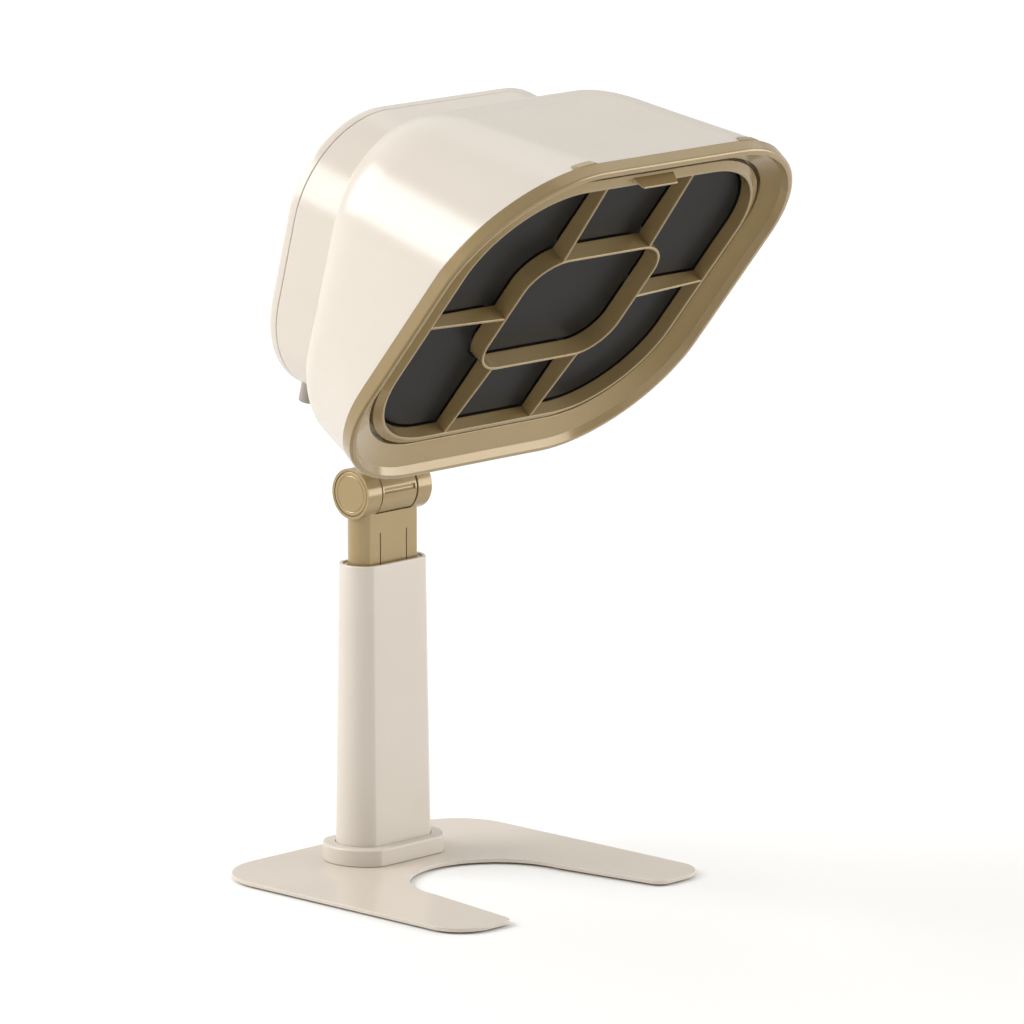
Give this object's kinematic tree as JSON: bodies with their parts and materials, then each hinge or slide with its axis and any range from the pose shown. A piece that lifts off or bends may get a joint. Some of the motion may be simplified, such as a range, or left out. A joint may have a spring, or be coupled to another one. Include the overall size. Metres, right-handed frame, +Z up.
{
  "type": "tabletop extractor hood",
  "caption": "Tabletop fume extractor: a lofted hood with a barred filter mouth on a tilting neck, a telescopic oval post and a flat U-shaped base.",
  "frame": {"origin": "on the table, on the column's axis", "axes": "+Z up along the column, -Y the way the mouth faces, +X to the right seen from the back"},
  "size_m": [0.259, 0.2619, 0.4393],
  "materials": {
    "cream_abs": "moulded, semi-gloss cream",
    "cream_powder_coat": "smooth cream powder coat on sheet steel",
    "gold_lacquered_metal": "satin champagne-gold lacquer",
    "gold_abs": "satin champagne-gold lacquer on ABS",
    "charcoal_panel": "charcoal filter panel with a slight sheen",
    "black_nylon": "moulded, matt",
    "grey_abs": "moulded, matt grey",
    "zinc_steel": "zinc-plated",
    "eva_pad": "non-slip foam",
    "circuit_board": "solder mask"
  },
  "bodies": {
    "stand": {"base_plate": "cream_powder_coat", "base_pad": "eva_pad", "base_screw_left": "zinc_steel", "base_screw_right": "zinc_steel", "column": "cream_abs", "column_collar": "cream_abs", "column_bush": "cream_abs"},
    "post": {"inner_post": "gold_lacquered_metal", "post_shoe": "black_nylon", "hinge_bolt": "zinc_steel", "hinge_nut": "zinc_steel", "hinge_cap_left": "gold_lacquered_metal", "hinge_cap_right": "gold_lacquered_metal", "hinge_washer_left": "zinc_steel", "hinge_washer_right": "zinc_steel"},
    "head": {"hinge_neck": "gold_lacquered_metal", "neck_screw_left": "zinc_steel", "neck_screw_right": "zinc_steel", "front_hood": "cream_abs", "mouth_bezel": "gold_abs", "rear_housing": "cream_abs", "rear_cover": "cream_abs", "fan_frame": "black_nylon", "fan_stator": "zinc_steel", "control_board": "circuit_board", "power_socket": "black_nylon", "cover_screw_1": "zinc_steel", "cover_screw_2": "zinc_steel", "cover_screw_3": "zinc_steel", "cover_screw_4": "zinc_steel", "fan_screw_1": "zinc_steel", "fan_screw_2": "zinc_steel", "fan_screw_3": "zinc_steel", "fan_screw_4": "zinc_steel"},
    "filter": {"filter_grille": "gold_abs", "filter_panel": "charcoal_panel"},
    "fan": {"fan_impeller": "black_nylon"},
    "button": {"power_button": "grey_abs"}
  },
  "joints": [
    {"name": "height_slide", "type": "slide", "parent": "stand", "child": "post", "axis": [0, 0, 1], "range_m": [-0.02, 0.06]},
    {"name": "head_tilt", "type": "hinge", "parent": "post", "child": "head", "pos_m": [0, 0, 0.212], "axis": [1, 0, 0], "range_deg": [-40, 25]},
    {"name": "grille_swing", "type": "hinge", "parent": "head", "child": "filter", "pos_m": [0, -0.07656, 0.25699], "axis": [1, 0, 0], "range_deg": [0, 70]},
    {"name": "fan_spin", "type": "hinge", "parent": "head", "child": "fan", "pos_m": [0, -0.04672, 0.35135], "axis": [0, -0.9659, -0.2588], "continuous": true},
    {"name": "button_press", "type": "slide", "parent": "head", "child": "button", "axis": [0, -0.2588, 0.9659], "range_m": [0, 0.0015], "stiffness_N_per_m": 300, "springref_m": -0.001}
  ]
}
